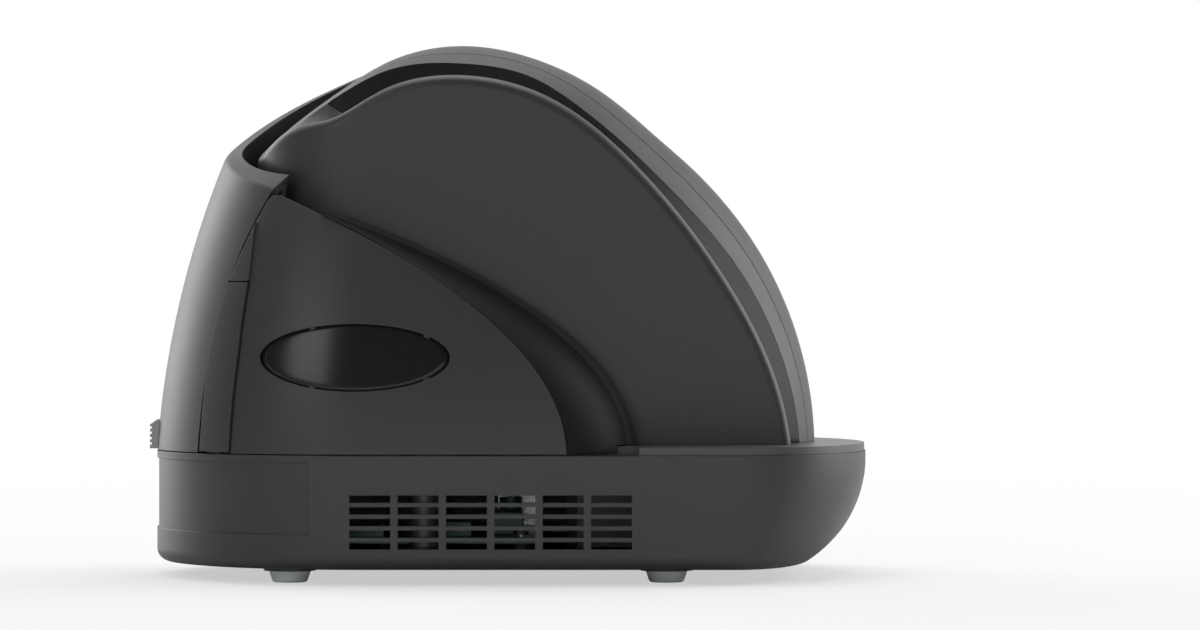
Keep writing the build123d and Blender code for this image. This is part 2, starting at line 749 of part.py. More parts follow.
def card_head_room():
    """The card head's window through the walls in front of the slot."""
    half = 4.0 + part_gap
    low, high = slot_floor_z + 5 - part_gap, slot_floor_z + 15 + part_gap
    return block(card_head_x - half, card_head_x + half, channel_front - 6.5, slot_y, low, high)


def ramp_side(gap=0.0):
    """Everything on the turn end's side of the slanted end of the card slot."""
    slope = (ramp_back_x - ramp_front_x) / (channel_back - channel_front)
    far, near = [(ramp_front_x + gap + slope * (y - channel_front), y) for y in (-40, 0)]
    outline = make_face(Polyline((-120, -40), far, near, (-120, 0), close=True))
    return Pos(0, 0, 20) * extrude(outline, 150)


def card_ramp(depth):
    """Slope that leads a card up from the front edge to the dome, at the turn end of its slot."""
    profiles = [(front_arch, channel_front), (slot_arch, channel_back)]
    return skin_of(profiles, depth) & ramp_side(-depth)


def island_front_shell():
    body = arch(front_arch, -inner_track, channel_front, arch_foot) + card_ramp(0)
    body = soften_end(body & island_limit())
    core = arch(inward(front_arch, island_wall), -inner_track + island_wall, channel_front - 1.2, arch_foot)
    inner_arch = arch(inward(front_arch, island_wall), -inner_track + island_wall, 0, arch_foot)
    body -= (core + card_ramp(island_wall)) & island_room()
    body -= inner_arch & island_room(back_wall_z)
    body -= card_head_room() + roller_room("entry") + roller_room("turn")
    half = sensor_width / 2
    outside, inside = -inner_track - 1, -inner_track + 3
    body -= block(rear_sensor_x - half, rear_sensor_x + half, outside, inside, sensor_low_z, sensor_high_z)
    return body - block(ink_head_x - 5, ink_head_x + 5, outside, inside, 40, 55)


def card_channel():
    raised = [(x, z + lip_rise) for x, z in front_arch]
    y0 = channel_front + 0.02
    body = arch(raised, y0, channel_back, arch_foot)
    body = (body + arch(slot_arch, channel_back - channel_wall, channel_back, arch_foot)) & island_limit()
    body -= arch(inward(raised, island_wall), y0 - 1, channel_back + 1, arch_foot) & island_room(slot_floor_z - channel_wall)
    body -= block(-120, 120, slot_y - slot_width / 2, slot_y + slot_width / 2, slot_floor_z, 200)
    return body - ramp_side(0.02) - card_head_room() - roller_room("turn")


def card_guide_housing():
    y0, y1 = channel_back + 0.02, parting_y - parting_gap
    body = soften_end(dome(0, y0, y1, 2) & island_limit())
    body -= dome(island_wall, y0 + 1.2, y1 + 1, 2) & island_room()
    body -= dome(island_wall, y0 - 1, y1 + 1, 2) & island_room(back_wall_z)
    return body - roller_room("turn")


def island_rear_shell():
    body = soften_end(dome(0, parting_y, inner_track) & island_limit())
    body -= dome(island_wall, parting_y - 1, inner_track - island_wall) & island_room()
    return body - roller_room("exit") - roller_room("turn")


# ---- drive
def inner_frame():
    inside = tower(inner_track - island_wall - 0.5, leg_roller_x + 14, frame_z, frame_z + frame_plate)
    body = inside
    for x, y in shafts.values():
        body += post(x, y, frame_z - 1.5, frame_z + frame_plate, bush_radius + 2) & tower(
            inner_track - island_wall - 0.5, 40, frame_z - 3, frame_z + 9)
        body -= post(x, y, frame_z - 5, frame_z + frame_plate + 5, bush_radius)
    for x, y in ((turn_x - 6, -12.0), (turn_x - 6, 12.0), (2.0, 0.0), (turn_x + 8, 0.0)):
        body += post(x, y, deck_top, frame_z + frame_plate, 2.6)
    half = sensor_width / 2 + 3
    body -= block(rear_sensor_x - half, rear_sensor_x + half, -inner_track, -inner_track + sensor_depth + 4, frame_z - 5, frame_z + 9)
    return body


def bush(x, y, z0, z1):
    return post(x, y, z0, z1, bush_radius, shaft_radius + running_gap)


def shaft_bushes():
    solids = []
    for x, y in shafts.values():
        solids.append(bush(x, y, deck_top - deck_wall - 1.5, deck_top))
        solids.append(bush(x, y, frame_z - 1.5, frame_z + frame_plate))
    return solids


def drive_shaft(place):
    x, y = place
    return post(x, y, pulley_z - 1.5, frame_z + frame_plate + 2, shaft_radius)


def drive_roller(place):
    x, y = place
    return post(x, y, roller_z, roller_z + roller_height, roller_radius, shaft_radius)


def pulley(x, y, radius, bore):
    rim = 0.9
    solid = post(x, y, pulley_z, pulley_z + pulley_height, radius)
    solid += post(x, y, pulley_z, pulley_z + rim, radius + 1.0)
    solid += post(x, y, pulley_z + pulley_height - rim, pulley_z + pulley_height, radius + 1.0)
    return solid - post(x, y, pulley_z - 1, pulley_z + pulley_height + 1, bore)


def belt_loop(grow, z, height):
    rims = [Pos(x, y, 0) * CenterArc((0, 0), pulley_radius + grow, 0, 360) for x, y in shafts.values()]
    rims.append(Pos(motor_x, 0, 0) * CenterArc((0, 0), motor_pulley_radius + grow, 0, 360))
    face = make_hull([edge for rim in rims for edge in rim.edges()])
    return Pos(0, 0, z) * extrude(face, height)


def drive_belt():
    rim = 1.2
    height = pulley_height - 2 * rim
    return belt_loop(running_gap + belt_thickness, pulley_z + rim, height) - belt_loop(running_gap, pulley_z + rim - 1, height + 2)


def motor():
    half = motor_size / 2
    body = block(motor_x - half, motor_x + half, -half, half, motor_low_z, motor_high_z)
    body = chamfer(body.edges().filter_by(Axis.Z), 3.0)
    body += post(motor_x, 0, motor_high_z, motor_high_z + 1.5, 11)
    body -= post(motor_x, 0, motor_high_z - 8, motor_high_z + 3, 2.5 + running_gap)
    for x, y in motor_corners():
        body -= post(x, y, motor_low_z - 1, motor_high_z + 1, 1.5)
    return body


def motor_screws():
    return [post(x, y, motor_low_z - 0.0, motor_high_z, 1.5) + post(x, y, motor_high_z, motor_high_z + 1.6, 2.6)
            for x, y in motor_corners()]


def motor_shaft():
    return post(motor_x, 0, motor_high_z - 7.5, pulley_z + pulley_height + 1, 2.5)


def idler_roller(place):
    x, y = place
    return post(x, y, roller_z, roller_z + roller_height, idler_radius, idler_pin_radius + running_gap)


def idler_pin(place):
    x, y = place
    reach = fork_gap + idler_fork + 0.8
    return post(x, y, roller_z - reach, roller_z + roller_height + reach, idler_pin_radius)


# ---- sensors, heads and electronics
def sensor_bar(x, y, out, backing):
    """Scanning bar behind a track wall; out is the side of the track it lies on."""
    half = sensor_width / 2 + 2
    near = y + out * backing
    far = near + out * sensor_depth
    low, high = min(near, far), max(near, far)
    body = block(x - half, x + half, low, high, sensor_low_z, sensor_high_z)
    lens = block(x - 1.5, x + 1.5, min(near, near + out * 1.2), max(near, near + out * 1.2), sensor_low_z + 4, sensor_high_z - 4)
    return body - lens


def sensor_pane(x, y, out, thickness):
    half = sensor_width / 2
    low, high = min(y, y + out * thickness), max(y, y + out * thickness)
    return block(x - half + 0.02, x + half - 0.02, low, high, sensor_low_z + 0.02, sensor_high_z - 0.02)


def ink_head():
    body = block(ink_head_x - 4.8, ink_head_x + 4.8, -inner_track, -inner_track + 9, 40.2, 54.8)
    return fillet(body.edges().filter_by(Axis.Z).sort_by(Axis.Y)[:2], 1.5)


def charge_magnet():
    return block(magnet_x - 3, magnet_x + 3, -inner_track + island_wall, -inner_track + island_wall + 4, 40, 54)


def card_head():
    z0, z1 = slot_floor_z + 5, slot_floor_z + 15
    y0, y1 = channel_front - 6, slot_y - 0.2
    body = block(card_head_x - 4, card_head_x + 4, y0, y1, z0, z1)
    return fillet(body.edges().filter_by(Axis.Z).sort_by(Axis.Y)[-2:], 0.9)


def circuit_board():
    z1 = board_z + board_thickness
    body = block(-78, 10, -36, 36, board_z, z1) + block(-10, 30, 30, 55, board_z, z1)
    for x, y in board_screw_places:
        body -= post(x, y, board_z - 1, z1 + 1, 1.2)
    for x0, x1, y0, y1, height in ((-66, -50, -12, 4, 1.6), (-30, -20, 10, 22, 1.4), (-24, -10, -26, -16, 4.0),
                                   (-60, -52, 16, 30, 7.0), (-44, -34, -30, -22, 2.2), (-4, 4, -12, 12, 6.0)):
        body += block(x0, x1, y0, y1, z1, z1 + height)
    for x, y in ((-70.0, -4.0), (-68.0, 12.0), (0.0, 24.0)):
        body += post(x, y, z1, z1 + 9, 3.2)
    return body


def board_screws():
    z1 = board_z + board_thickness
    return [post(x, y, board_z, z1, 1.2) + post(x, y, z1, z1 + 1.5, 2.3) for x, y in board_screw_places]


def usb_socket():
    y1 = half_width - 1.0
    half = usb_width / 2
    body = block(usb_x - half, usb_x + half, y1 - 16, y1, socket_z, socket_z + socket_height)
    mouth = block(usb_x - 4.25, usb_x + 4.25, y1 - 11, y1 + 1, socket_z + 1.6, socket_z + 9.4)
    tongue = block(usb_x - 2.8, usb_x + 2.8, y1 - 11, y1 - 5.5, socket_z + 3.9, socket_z + 7.1)
    return body - mouth + tongue


def power_socket():
    y1 = half_width - 1.0
    z = socket_z + socket_height / 2
    half = power_width / 2
    body = block(power_x - half, power_x + half, y1 - 14, y1, socket_z, socket_z + socket_height)
    body -= Pos(power_x, y1 - 5, z) * Rot(90, 0, 0) * Cylinder(3.25, 10.02)
    return body + Pos(power_x, y1 - 7.8, z) * Rot(90, 0, 0) * Cylinder(1.0, 5.6)


def write(name, shape):
    shape = Compound(children=list(shape)) if isinstance(shape, list) else shape
    shape.label = name
    export_step(shape, f"parts/{name}.step")


def main():
    os.makedirs("parts", exist_ok=True)
    single = [base_pan, feet, base_screws, deck, hinge_pins, front_cover, entry_guide, latch_strip, latch_pin,
              end_cover, release_tab, rear_cover, island_front_shell, card_channel, card_guide_housing,
              island_rear_shell, inner_frame, shaft_bushes, drive_belt, motor, motor_screws, motor_shaft,
              ink_head, charge_magnet, card_head, circuit_board, board_screws, usb_socket, power_socket]
    for build in single:
        write(build.__name__, build())
    for name, place in shafts.items():
        write(f"{name}_shaft", drive_shaft(place))
        write(f"{name}_roller", drive_roller(place))
        write(f"{name}_pulley", pulley(*place, pulley_radius, shaft_radius))
    write("motor_pulley", pulley(motor_x, 0, motor_pulley_radius, 2.5))
    for name, place in idlers.items():
        write(f"{name}_idler", idler_roller(place))
        write(f"{name}_idler_pin", idler_pin(place))
    write("front_image_sensor", sensor_bar(front_sensor_x, -outer_track, -1, track_wall))
    write("front_sensor_glass", sensor_pane(front_sensor_x, -outer_track, -1, track_wall))
    write("rear_image_sensor", sensor_bar(rear_sensor_x, -inner_track, 1, island_wall))
    write("rear_sensor_glass", sensor_pane(rear_sensor_x, -inner_track, 1, island_wall))


main()
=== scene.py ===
import json
import math

import bmesh
import bpy
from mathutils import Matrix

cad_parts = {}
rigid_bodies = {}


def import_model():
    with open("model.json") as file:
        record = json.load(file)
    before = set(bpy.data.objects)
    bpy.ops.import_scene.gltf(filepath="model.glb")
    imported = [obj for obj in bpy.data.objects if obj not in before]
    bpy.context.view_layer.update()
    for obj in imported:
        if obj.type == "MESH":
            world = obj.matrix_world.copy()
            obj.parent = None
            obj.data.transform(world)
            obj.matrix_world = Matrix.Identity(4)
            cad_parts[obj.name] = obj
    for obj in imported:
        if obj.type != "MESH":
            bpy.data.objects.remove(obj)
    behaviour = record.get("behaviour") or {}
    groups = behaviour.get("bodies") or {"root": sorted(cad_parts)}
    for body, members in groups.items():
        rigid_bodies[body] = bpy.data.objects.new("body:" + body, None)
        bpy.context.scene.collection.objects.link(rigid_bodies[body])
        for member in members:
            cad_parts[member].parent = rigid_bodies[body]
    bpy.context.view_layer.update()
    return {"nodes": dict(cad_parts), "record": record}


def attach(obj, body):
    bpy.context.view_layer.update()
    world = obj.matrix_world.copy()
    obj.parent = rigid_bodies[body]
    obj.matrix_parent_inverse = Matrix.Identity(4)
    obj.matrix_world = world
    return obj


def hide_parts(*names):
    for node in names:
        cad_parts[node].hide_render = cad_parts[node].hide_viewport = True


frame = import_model()
print("frame loaded:", len(frame["nodes"]), "nodes")

mm = 0.001               # the scene is in metres, sizes below are in millimetres


# shader maths: a socket that takes part in Python sums
class Value:
    def __init__(self, finish, socket):
        self.finish = finish
        self.socket = socket

    def sum(self, operation, other, flipped=False):
        first, second = (other, self) if flipped else (self, other)
        made = self.finish.node("Math", {"operation": operation}, {0: first, 1: second})
        return Value(self.finish, made.outputs[0])

    def __add__(self, other):
        return self.sum("ADD", other)

    def __radd__(self, other):
        return self.sum("ADD", other, True)

    def __sub__(self, other):
        return self.sum("SUBTRACT", other)

    def __rsub__(self, other):
        return self.sum("SUBTRACT", other, True)

    def __mul__(self, other):
        return self.sum("MULTIPLY", other)

    def __rmul__(self, other):
        return self.sum("MULTIPLY", other, True)

    def __truediv__(self, other):
        return self.sum("DIVIDE", other)

    def __rtruediv__(self, other):
        return self.sum("DIVIDE", other, True)

    def __gt__(self, other):
        return self.sum("GREATER_THAN", other)

    def __pow__(self, other):
        return self.sum("POWER", other)

    def clip(self):                                            # held between 0 and 1
        made = self.finish.node("Clamp", {}, {0: self})
        return Value(self.finish, made.outputs[0])


def placed(name, data):
    made = bpy.data.objects.new(name, data)
    bpy.context.collection.objects.link(made)
    return made


class Graph:
    prefixes = ("ShaderNode",)

    def node(self, kind, settings=None, inputs=None):
        prefix = next(p for p in self.prefixes if hasattr(bpy.types, p + kind))
        made = self.tree.nodes.new(prefix + kind)
        for key, value in (settings or {}).items():
            setattr(made, key, value)
        for key, value in (inputs or {}).items():
            for item in value if isinstance(value, list) else [value]:
                self.feed(made.inputs[key], item)
        return made

    def feed(self, socket, value):
        if isinstance(value, Value):
            value = value.socket
        if isinstance(value, bpy.types.Node):
            value = value.outputs[0]
        if isinstance(value, bpy.types.NodeSocket):
            self.tree.links.new(value, socket)
        else:
            socket.default_value = value

    def value(self, kind, settings=None, inputs=None, output=0):
        return Value(self, self.node(kind, settings, inputs).outputs[output])


class Growth(Graph):                     # a geometry tree with named inputs, in millimetres
    prefixes = ("GeometryNode", "FunctionNode", "ShaderNode", "Node")

    def __init__(self, name, inputs):
        self.tree = bpy.data.node_groups.new(name, "GeometryNodeTree")
        sockets = self.tree.interface
        sockets.new_socket(name="Geometry", in_out="INPUT", socket_type="NodeSocketGeometry")
        sockets.new_socket(name="Geometry", in_out="OUTPUT", socket_type="NodeSocketGeometry")
        self.ids = {}
        for label, number in inputs.items():
            kind = "NodeSocketInt" if isinstance(number, int) else "NodeSocketFloat"
            made = sockets.new_socket(name=label, in_out="INPUT", socket_type=kind)
            made.default_value = number
            self.ids[label] = made.identifier
        self.entry = self.node("GroupInput")

    def given(self, label):                                    # a named input; lengths in metres
        value = Value(self, self.entry.outputs[label])
        kind = self.tree.interface.items_tree[label].socket_type
        return value if kind == "NodeSocketInt" else value * mm

    def close(self, geometry, material):
        real = self.node("RealizeInstances", {}, {0: geometry})
        dressed = self.node("SetMaterial", {}, {"Geometry": real, "Material": material})
        self.node("GroupOutput", {}, {0: dressed.outputs[0]})

    def grow(self, name, places, look):
        mesh = bpy.data.meshes.new(name)
        mesh.from_pydata([[v * mm for v in place] for place in places], [], [])
        seed = placed(name, mesh)
        modifier = seed.modifiers.new("grow", "NODES")
        modifier.node_group = self.tree
        for label, number in look.items():
            modifier[self.ids[label]] = number
        seen = seed.evaluated_get(bpy.context.evaluated_depsgraph_get())
        grown = bpy.data.meshes.new_from_object(seen)
        bpy.data.objects.remove(seed)
        bpy.data.meshes.remove(mesh)
        grown.name = name
        return placed(name, grown)


class Finish(Graph):
    def __init__(self, name):
        self.material = bpy.data.materials.new(name)
        self.material.use_nodes = True
        self.tree = self.material.node_tree
        self.tree.nodes.clear()
        self.place = self.node("TexCoord").outputs["Object"]

    def noise(self, size, detail=2.0, stretch=(1, 1, 1)):      # grain of that size in millimetres
        spread = self.node("Mapping", {}, {0: self.place, 3: stretch}).outputs[0]
        settings = {"noise_dimensions": "3D"}
        return self.value("TexNoise", settings,
                          {"Vector": spread, "Scale": 1 / (size * mm), "Detail": detail})

    def part(self, axis):
        split = self.node("SeparateXYZ", {}, {0: self.place})
        return Value(self, split.outputs["XYZ".index(axis)])

    def blend(self, factor, first, second, mode="MIX"):        # two colours through a Mix node
        settings = {"data_type": "RGBA", "blend_type": mode}
        made = self.node("Mix", settings, {0: factor, 6: first, 7: second})
        return Value(self, made.outputs[2])

    def bump(self, height, distance, strength=1.0, below=None):
        inputs = {"Height": height, "Distance": distance * mm, "Strength": strength}
        if below is not None:
            inputs["Normal"] = below
        return Value(self, self.node("Bump", {}, inputs).outputs[0])

    def rounded(self, radius):                                 # normal that softens sharp edges
        return self.value("Bevel", {"samples": 4}, {0: radius * mm})

    def steps(self, value, low, high):                         # smooth 0 to 1 between, in mm
        return self.value("MapRange", {"interpolation_type": "SMOOTHSTEP"},
                          {0: value, 1: low * mm, 2: high * mm, 3: 0.0, 4: 1.0})

    def surface(self, inputs):
        shader = self.node("BsdfPrincipled", {}, inputs)
        out = self.node("OutputMaterial")
        self.tree.links.new(shader.outputs[0], out.inputs[0])
        return self.material


def grey(level, tint=(1.0, 1.0, 1.0)):
    return tuple(level * t for t in tint) + (1.0,)


# finishes
housingFinish = {"colour": grey(0.034, (0.95, 1.0, 1.07)), "roughness": 0.44, "grain": 0.34,
                 "depth": 0.014, "round": 0.35}


plasticSet = {"wide": 4.5, "patch": 28.0, "patchTone": 0.5, "lighter": 1.14, "dustSize": 0.9,
              "dustFrom": 0.66, "dustGain": 1.3, "dust": grey(0.16, (1.0, 0.98, 0.94)),
              "smoother": 0.06, "roughPatch": 0.07, "roughGrain": 0.06, "wideHeight": 0.5,
              "strength": 0.9, "round": 0.25, "level": 0.5}


def mouldedPlastic(name, look, mask=None, masked=None):        # where the mask is 1, masked shows
    f = Finish(name)
    grain = f.noise(look["grain"], 1.5)
    wide = f.noise(look["grain"] * plasticSet["wide"], 2.0)
    patches = f.noise(plasticSet["patch"], 3.0)
    lighter = tuple(c * plasticSet["lighter"] for c in look["colour"][:3]) + (1.0,)
    tone = f.blend(patches * plasticSet["patchTone"], look["colour"], lighter)
    specks = f.noise(plasticSet["dustSize"], 4.0, (1, 1, 0.6))
    dust = (specks - plasticSet["dustFrom"]).clip() * plasticSet["dustGain"]
    tone = f.blend(dust, tone, plasticSet["dust"])
    rough = look["roughness"] - plasticSet["smoother"]
    rough = rough + patches * plasticSet["roughPatch"] + grain * plasticSet["roughGrain"]
    if mask is not None:
        cover = mask(f)
        tone = f.blend(cover, tone, masked["colour"])
        rough = rough + cover * (masked["roughness"] - look["roughness"])
    soft = f.rounded(look.get("round", plasticSet["round"]))
    height = grain + wide * plasticSet["wideHeight"]
    bump = f.bump(height, look["depth"], plasticSet["strength"], soft)
    return f.surface({"Base Color": tone, "Roughness": rough, "Normal": bump,
                      "Specular IOR Level": look.get("level", plasticSet["level"])})


# curve of the entry guide's outer edge; band is the width of the painted highlight along it
guideEdge = {"from": 35.8, "square": 0.0172, "fourth": 4e-7, "band": 2.6, "fade": 0.3,
             "seam": 35.0}


def guideEdgeHighlight(f):                        # 1 along the entry guide's outer edge, 0 elsewhere; it masks the painted highlight on that edge
    rise = f.part("Z") - guideEdge["seam"] * mm
    square = rise * rise
    edge = guideEdge["from"] * mm - square * (guideEdge["square"] / mm)
    edge = edge - square * square * (guideEdge["fourth"] / mm ** 3)
    return f.steps(f.part("X") - edge, -guideEdge["band"], guideEdge["fade"] - guideEdge["band"])


housing = mouldedPlastic("housingPlastic", housingFinish)
deckPlastic = mouldedPlastic("deckPlastic", {"colour": grey(0.054, (0.97, 1.0, 1.05)),
                                             "roughness": 0.36, "grain": 0.25, "depth": 0.008})
blackPlastic = mouldedPlastic("satinBlack", {"colour": grey(0.010), "roughness": 0.40,
                                             "grain": 0.22, "depth": 0.006})
# the lighter grey, glossier band along the guide's outer edge is a painted highlight
guidePlastic = mouldedPlastic("guideBlack", {"colour": grey(0.005), "roughness": 0.50,
                                             "grain": 0.26, "depth": 0.007, "level": 0.18},
                              guideEdgeHighlight, {"colour": grey(0.034), "roughness": 0.40})
ovalPlastic = mouldedPlastic("ovalBlack", {"colour": grey(0.011), "roughness": 0.22,
                                           "grain": 0.5, "depth": 0.003, "level": 0.35})
glossBlack = mouldedPlastic("polishedBlack", {"colour": grey(0.010, (1.1, 1.0, 0.95)),
                                              "roughness": 0.12, "grain": 1.2, "depth": 0.001})
tabPlastic = mouldedPlastic("lightGreyPlastic", {"colour": grey(0.34, (1.0, 1.01, 1.0)),
                                                 "roughness": 0.5, "grain": 0.3, "depth": 0.01})
footRubber = mouldedPlastic("lightGreyRubber", {"colour": grey(0.75, (0.95, 1.02, 0.98)),
                                                "roughness": 0.62, "grain": 0.5, "depth": 0.02})
rollerRubber = mouldedPlastic("groundRubber", {"colour": grey(0.022), "roughness": 0.75,
                                               "grain": 0.4, "depth": 0.03})
beltRubber = mouldedPlastic("beltRubber", {"colour": grey(0.016), "roughness": 0.6,
                                           "grain": 0.35, "depth": 0.02})
motorPaint = mouldedPlastic("motorPaint", {"colour": grey(0.10), "roughness": 0.4,
                                           "grain": 0.7, "depth": 0.01})
magnetStone = mouldedPlastic("sinteredMagnet", {"colour": grey(0.07), "roughness": 0.6,
                                                "grain": 0.5, "depth": 0.02})
boardGreen = mouldedPlastic("solderMask", {"colour": (0.02, 0.13, 0.05, 1.0), "roughness": 0.3,
                                           "grain": 2.0, "depth": 0.005})

metalSet = {"blooms": 9.0, "bloomTone": 0.4, "darker": 0.8, "smoother": 0.04, "roughLines": 0.08,
            "roughBlooms": 0.05, "depth": 0.003, "strength": 0.6}


def metal(name, colour, roughness, grain=0.6, stretch=(1, 1, 12)):
    f = Finish(name)
    lines = f.noise(grain, 2.0, stretch)
    blooms = f.noise(metalSet["blooms"], 2.0)
    darker = tuple(c * metalSet["darker"] for c in colour[:3]) + (1.0,)
    tone = f.blend(blooms * metalSet["bloomTone"], colour, darker)
    rough = roughness - metalSet["smoother"]
    rough = rough + lines * metalSet["roughLines"] + blooms * metalSet["roughBlooms"]
    bump = f.bump(lines, metalSet["depth"], metalSet["strength"])
    return f.surface({"Base Color": tone, "Roughness": rough, "Metallic": 1.0, "Normal": bump})


steel = metal("groundSteel", grey(0.56), 0.28)
brass = metal("sinteredBrass", (0.62, 0.43, 0.18, 1.0), 0.38)
pulleyMetal = metal("turnedAluminium", grey(0.62), 0.3, 0.35)
headMetal = metal("headShield", grey(0.58), 0.2)
socketMetal = metal("socketShell", grey(0.60), 0.25, 0.5, (1, 8, 1))


glassSet = {"haze": 6.0, "colour": (0.30, 0.36, 0.36, 1.0), "roughHaze": 0.06, "roughness": 0.02,
            "transmission": 0.85, "index": 1.5}


def clearGlass():
    f = Finish("sensorGlass")
    haze = f.noise(glassSet["haze"], 2.0)
    rough = haze * glassSet["roughHaze"] + glassSet["roughness"]
    return f.surface({"Base Color": glassSet["colour"], "Roughness": rough,
                      "Transmission Weight": glassSet["transmission"], "IOR": glassSet["index"]})


sensorGlass = clearGlass()

finishOf = {"housing": housing, "deck": deckPlastic, "black": blackPlastic,
            "gloss_black": glossBlack, "light_grey": tabPlastic, "feet": footRubber,
            "rubber": rollerRubber, "belt": beltRubber, "steel": steel, "brass": brass,
            "pulley": pulleyMetal, "motor": motorPaint, "head": headMetal, "magnet": magnetStone,
            "board": boardGreen, "socket": socketMetal, "glass": sensorGlass}

nodeFinish = {"entry_guide": guidePlastic}

for row in frame["record"]["subparts"]:
    for slot in frame["nodes"][row["node"]].material_slots:
        slot.material = nodeFinish.get(row["node"], finishOf[row["material_slot"]])
print("finishes given")

# bare oval set in the front cover
ovalSet = {"middle": (-40.8, 61.4), "half": (25.9, 9.1), "depth": 0.42, "thick": 0.6,
           "rings": 10, "around": 96, "edgeFrom": 0.97, "edgeWidth": 0.03, "edgeDrop": 0.15}
coverShape = {"seam": 35.0, "half": 60.0, "bend": 275.0, "start": 3.9, "shift": 11.5,
              "top": 111.0, "turn": -39.2}


def coverFront(x, z, inset):             # Y of the covers' leaning front, inset below its surface
    rise = z - coverShape["seam"]
    start = math.radians(coverShape["start"])
    sine = math.sin(start) + rise / coverShape["bend"]
    lean = coverShape["bend"] * (math.cos(start) - math.sqrt(1 - sine ** 2))
    radius = coverShape["half"] - lean - inset
    aside = min(0.0, x - coverShape["turn"])
    back = coverShape["shift"] * (rise / coverShape["top"]) ** 2
    return back - math.sqrt(radius ** 2 - aside ** 2)


def makeOval():
    around, rings = ovalSet["around"], ovalSet["rings"]
    points, faces = [], []
    for side, inset in enumerate((ovalSet["depth"], ovalSet["depth"] + ovalSet["thick"])):
        for ring in range(rings + 1):
            for k in range(around):
                turn = 2 * math.pi * k / around
                x = ovalSet["middle"][0] + ovalSet["half"][0] * math.cos(turn) * ring / rings
                z = ovalSet["middle"][1] + ovalSet["half"][1] * math.sin(turn) * ring / rings
                out = max(0.0, ring / rings - ovalSet["edgeFrom"])
                soft = ovalSet["edgeDrop"] * out / ovalSet["edgeWidth"] if side == 0 else 0.0
                points.append((x * mm, coverFront(x, z, inset + soft) * mm, z * mm))
    layer = around * (rings + 1)
    for ring in range(1, rings):
        for k in range(around):
            a, b = ring * around + k, ring * around + (k + 1) % around
            faces.append((a, b, b + around, a + around))
            faces.append((layer + a, layer + a + around, layer + b + around, layer + b))
    for k in range(around):
        a, b = rings * around + k, rings * around + (k + 1) % around
        faces.append((a, b, layer + b, layer + a))
        a, b = around + k, around + (k + 1) % around
        faces.append((0, b, a))
        faces.append((layer, layer + a, layer + b))
    mesh = bpy.data.meshes.new("ovalPlate")
    mesh.from_pydata(points, [], faces)
    mesh.validate()
    spare = bmesh.new()
    spare.from_mesh(mesh)
    bmesh.ops.delete(spare, geom=[v for v in spare.verts if not v.link_faces], context="VERTS")
    bmesh.ops.recalc_face_normals(spare, faces=spare.faces)
    spare.to_mesh(mesh)
    spare.free()
    plate = placed("ovalPlate", mesh)
    mesh.materials.append(ovalPlastic)
    for face in mesh.polygons:
        face.use_smooth = True
    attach(plate, "front_door")


makeOval()

# screws with a cross recess and a thread
screwTree = Growth("crossScrew", {"Head radius": 3.0, "Head height": 2.0, "Slot": 0.7,
                                  "Shank radius": 1.5, "Shank length": 11.0, "Pitch": 0.9, "Flip": 0.0})
screwShape = {"headSides": 40, "headTop": 0.78, "arm": 1.1, "recess": 1.2, "rodSides": 24,
              "core": 0.86, "helix": 0.84, "run": 0.94, "start": 0.97, "ridge": 0.13,
              "ridgeSides": 6, "turnSteps": 16, "turnMost": 3.1, "seed": 4}   # shares and counts


def growScrews():
    t = screwTree
    shape = screwShape
    radius, height, slot = (t.given(label) for label in ("Head radius", "Head height", "Slot"))
    shank, length, pitch = (t.given(label) for label in ("Shank radius", "Shank length", "Pitch"))
    head = t.node("MeshCone", {"fill_type": "NGON"},
                  {"Vertices": shape["headSides"], "Radius Top": radius * shape["headTop"],
                   "Radius Bottom": radius, "Depth": height})
    arms = []
    for first, second in ((radius * shape["arm"], slot), (slot, radius * shape["arm"])):
        size = t.node("CombineXYZ", {}, {0: first, 1: second, 2: height * shape["recess"]})
        bar = t.node("MeshCube", {}, {"Size": size})
        lift = t.node("CombineXYZ", {}, {2: height})
        arms.append(t.node("SetPosition", {}, {"Geometry": bar, "Offset": lift}))
    cut = t.node("MeshBoolean", {"operation": "DIFFERENCE"}, {"Mesh 1": head, "Mesh 2": arms})
    rod = t.node("MeshCylinder", {"fill_type": "NGON"},
                 {"Vertices": shape["rodSides"], "Radius": shank * shape["core"], "Depth": length})
    down = t.node("CombineXYZ", {}, {2: length * -0.5})
    rod = t.node("SetPosition", {}, {"Geometry": rod, "Offset": down})
    helix = t.node("CurveSpiral", {},
                   {"Resolution": shape["turnSteps"], "Rotations": (length * shape["run"]) / pitch,
                    "Start Radius": shank * shape["helix"], "End Radius": shank * shape["helix"],
                    "Height": length * shape["run"]})
    ridge = t.node("CurvePrimitiveCircle", {},
                   {"Resolution": shape["ridgeSides"], "Radius": shank * shape["ridge"]})
    thread = t.node("CurveToMesh", {}, {"Curve": helix, "Profile Curve": ridge, "Fill Caps": True})
    down = t.node("CombineXYZ", {}, {2: length * -shape["start"]})
    thread = t.node("SetPosition", {}, {"Geometry": thread, "Offset": down})
    whole = t.node("JoinGeometry", {}, {0: [cut, rod, thread]})
    flipped = Value(t, t.entry.outputs["Flip"]) * math.pi
    spin = t.node("RandomValue", {"data_type": "FLOAT"},
                  {"Max": shape["turnMost"], "Seed": shape["seed"]})
    turn = t.node("CombineXYZ", {}, {0: flipped, 2: spin.outputs[1]})
    t.close(t.node("InstanceOnPoints", {}, {"Points": t.entry.outputs[0], "Instance": whole,
                                            "Rotation": turn}), steel)


